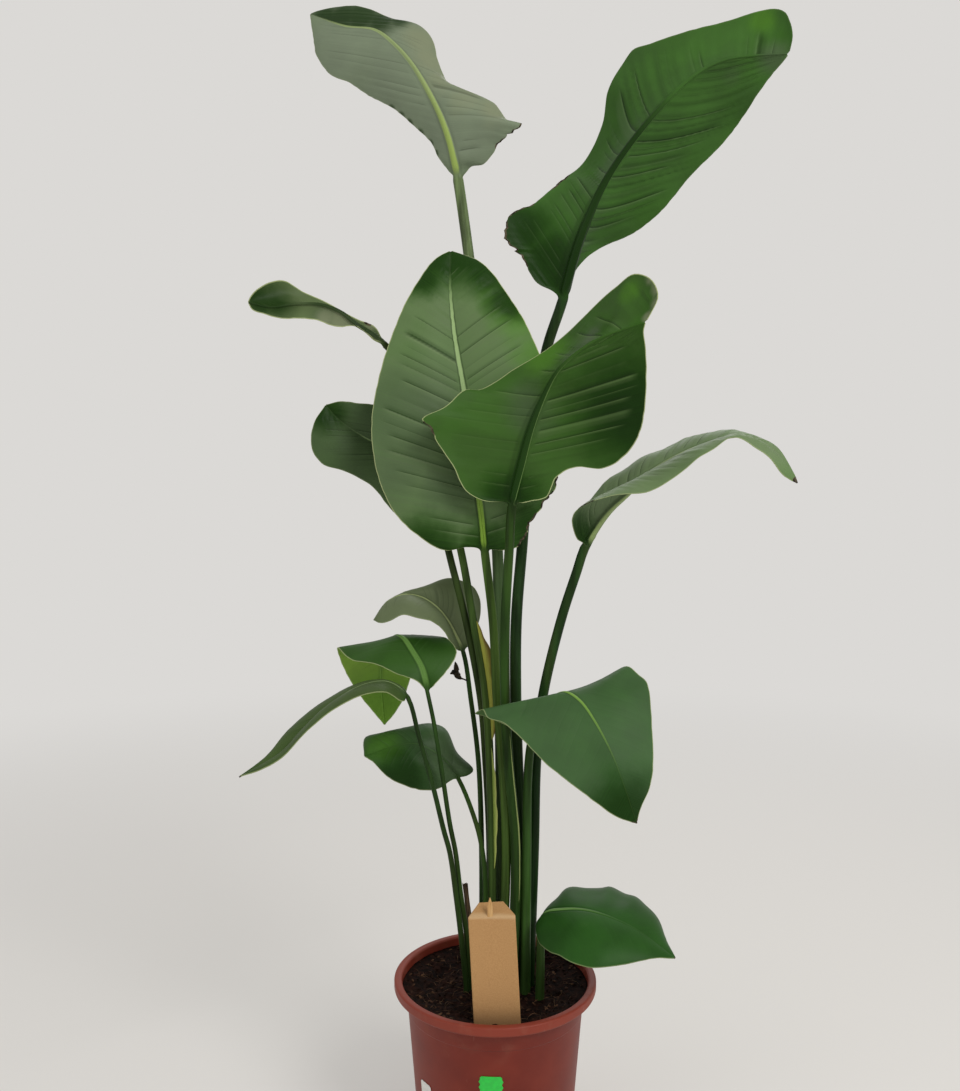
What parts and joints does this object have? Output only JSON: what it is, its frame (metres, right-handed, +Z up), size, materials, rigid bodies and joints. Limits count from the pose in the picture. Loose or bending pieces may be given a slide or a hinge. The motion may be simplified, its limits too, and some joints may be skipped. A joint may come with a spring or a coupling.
{
  "type": "potted bird of paradise",
  "caption": "Tall house plant with broad waved paddle leaves on long upright stalks, standing in a round plastic nursery pot filled with soil, with a blank card tag.",
  "frame": {"origin": "the middle of the pot's flat base, on the surface that it stands on", "axes": "+Z up along the plant, -Y towards the side that carries the tag, +X to the right seen from there"},
  "size_m": [0.6421, 0.2656, 1.4082],
  "materials": {
    "leaf_green": "satin leaf with pale veins and midrib",
    "terracotta_plastic": "moulded satin",
    "potting_soil": "rough, fibrous",
    "dried_stalk": "dry and fibrous",
    "kraft_card": "uncoated kraft",
    "peg_wood": "raw",
    "green_label": "coated",
    "white_label": "coated"
  },
  "bodies": {
    "root": {"pot": "terracotta_plastic", "soil": "potting_soil", "leaf_top_left": "leaf_green", "leaf_top_right": "leaf_green", "leaf_upper_left": "leaf_green", "leaf_middle_left": "leaf_green", "leaf_tall_centre": "leaf_green", "leaf_front_right": "leaf_green", "leaf_right": "leaf_green", "leaf_inner_left": "leaf_green", "leaf_low_left_hanging": "leaf_green", "leaf_low_left_front": "leaf_green", "leaf_low_inner": "leaf_green", "leaf_low_front": "leaf_green", "leaf_bottom_right": "leaf_green", "cut_stub": "dried_stalk", "tag": "kraft_card", "tag_peg": "peg_wood", "label_green": "green_label", "label_white": "white_label"}
  },
  "joints": []
}
